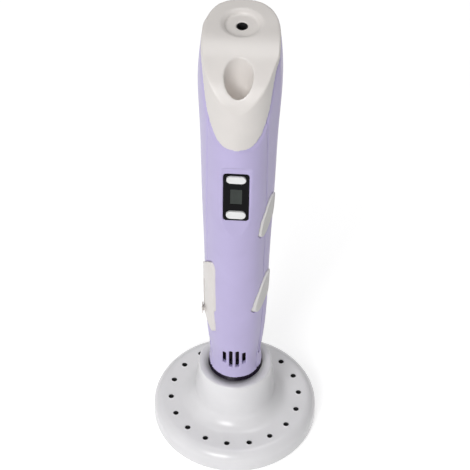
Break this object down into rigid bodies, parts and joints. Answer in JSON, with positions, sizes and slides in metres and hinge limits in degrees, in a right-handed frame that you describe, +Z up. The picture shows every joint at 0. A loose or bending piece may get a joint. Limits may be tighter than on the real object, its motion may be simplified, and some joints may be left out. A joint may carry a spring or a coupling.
{
  "type": "three d pen",
  "caption": "Handheld 3D drawing pen with display, temperature keys, side feed buttons and speed slider, resting nose down in a flared round stand.",
  "frame": {"origin": "centre of the stand's underside", "axes": "+Z up along the stand's axis, the pen's display faces -Y, the feed buttons are on +X"},
  "size_m": [0.0632, 0.0632, 0.191],
  "materials": {
    "lavender_plastic": "gloss",
    "warm_white_plastic": "satin",
    "stand_white_plastic": "gloss",
    "white_button_plastic": "satin",
    "leaf_grey_plastic": "satin",
    "black_plastic": "gloss",
    "nose_black": "satin",
    "ceramic": "matte",
    "brass": "satin",
    "steel": "satin",
    "slippery_tube": "satin",
    "circuit_board": "satin",
    "screen_glass": "gloss",
    "component_black": "matte"
  },
  "bodies": {
    "stand": {"stand_body": "stand_white_plastic", "base_plate": "stand_white_plastic"},
    "pen": {"front_shell": "lavender_plastic", "rear_shell": "lavender_plastic", "tail_cap": "warm_white_plastic", "slider_trim": "warm_white_plastic", "display_window": "black_plastic", "screen_lens": "screen_glass", "display_module": "component_black", "main_board": "circuit_board", "side_board": "circuit_board", "front_switches": "component_black", "side_switches": "component_black", "speed_slider_track": "component_black", "nose_ring": "nose_black", "ceramic_nozzle": "ceramic", "heater_barrel": "brass", "heater_sleeve": "steel", "insulating_ring": "ceramic", "thermistor": "component_black", "guide_tube": "slippery_tube", "inner_liner": "slippery_tube", "drive_frame": "component_black", "lever_pin": "steel", "gearbox": "steel", "drive_motor": "steel", "power_jack": "component_black", "jack_pin": "steel", "shell_screws": "steel"},
    "temp_up_button_body": {"temp_up_button": "white_button_plastic"},
    "temp_down_button_body": {"temp_down_button": "white_button_plastic"},
    "feed_button_body": {"feed_button": "leaf_grey_plastic"},
    "retract_button_body": {"retract_button": "leaf_grey_plastic"},
    "speed_knob_body": {"speed_knob": "warm_white_plastic"},
    "feed_screw_body": {"feed_screw": "steel"},
    "pressure_lever_body": {"pressure_lever": "steel"},
    "pressure_roller_body": {"pressure_roller": "steel"}
  },
  "joints": [
    {"name": "pen_lift", "type": "slide", "parent": "stand", "child": "pen", "axis": [0, 0, 1], "range_m": [0, 0.09]},
    {"name": "temp_up_press", "type": "slide", "parent": "pen", "child": "temp_up_button_body", "axis": [0, 0.9995, -0.0326], "range_m": [0, 0.0004], "stiffness_N_per_m": 400, "springref_m": -0.0005},
    {"name": "temp_down_press", "type": "slide", "parent": "pen", "child": "temp_down_button_body", "axis": [0, 0.9995, -0.0326], "range_m": [0, 0.0004], "stiffness_N_per_m": 400, "springref_m": -0.0005},
    {"name": "feed_press", "type": "slide", "parent": "pen", "child": "feed_button_body", "axis": [-1, 0, 0], "range_m": [0, 0.0005], "stiffness_N_per_m": 400, "springref_m": -0.0005},
    {"name": "retract_press", "type": "slide", "parent": "pen", "child": "retract_button_body", "axis": [-1, 0, 0], "range_m": [0, 0.0005], "stiffness_N_per_m": 400, "springref_m": -0.0005},
    {"name": "speed_slide", "type": "slide", "parent": "pen", "child": "speed_knob_body", "axis": [-0.0214, 0, 0.9998], "range_m": [0, 0.016]},
    {"name": "feed_screw_turn", "type": "hinge", "parent": "pen", "child": "feed_screw_body", "pos_m": [0, 0.0033, 0.07], "axis": [0, 0, 1], "continuous": true},
    {"name": "pressure_lever_swing", "type": "hinge", "parent": "pen", "child": "pressure_lever_body", "pos_m": [0, -0.0057, 0.075], "axis": [-1, 0, 0], "range_deg": [0, 5], "stiffness_Nm_per_rad": 0.02, "springref_deg": -11.46},
    {"name": "pressure_roller_turn", "type": "hinge", "parent": "pressure_lever_body", "child": "pressure_roller_body", "pos_m": [0, -0.0057, 0.0695], "axis": [1, 0, 0], "continuous": true}
  ]
}
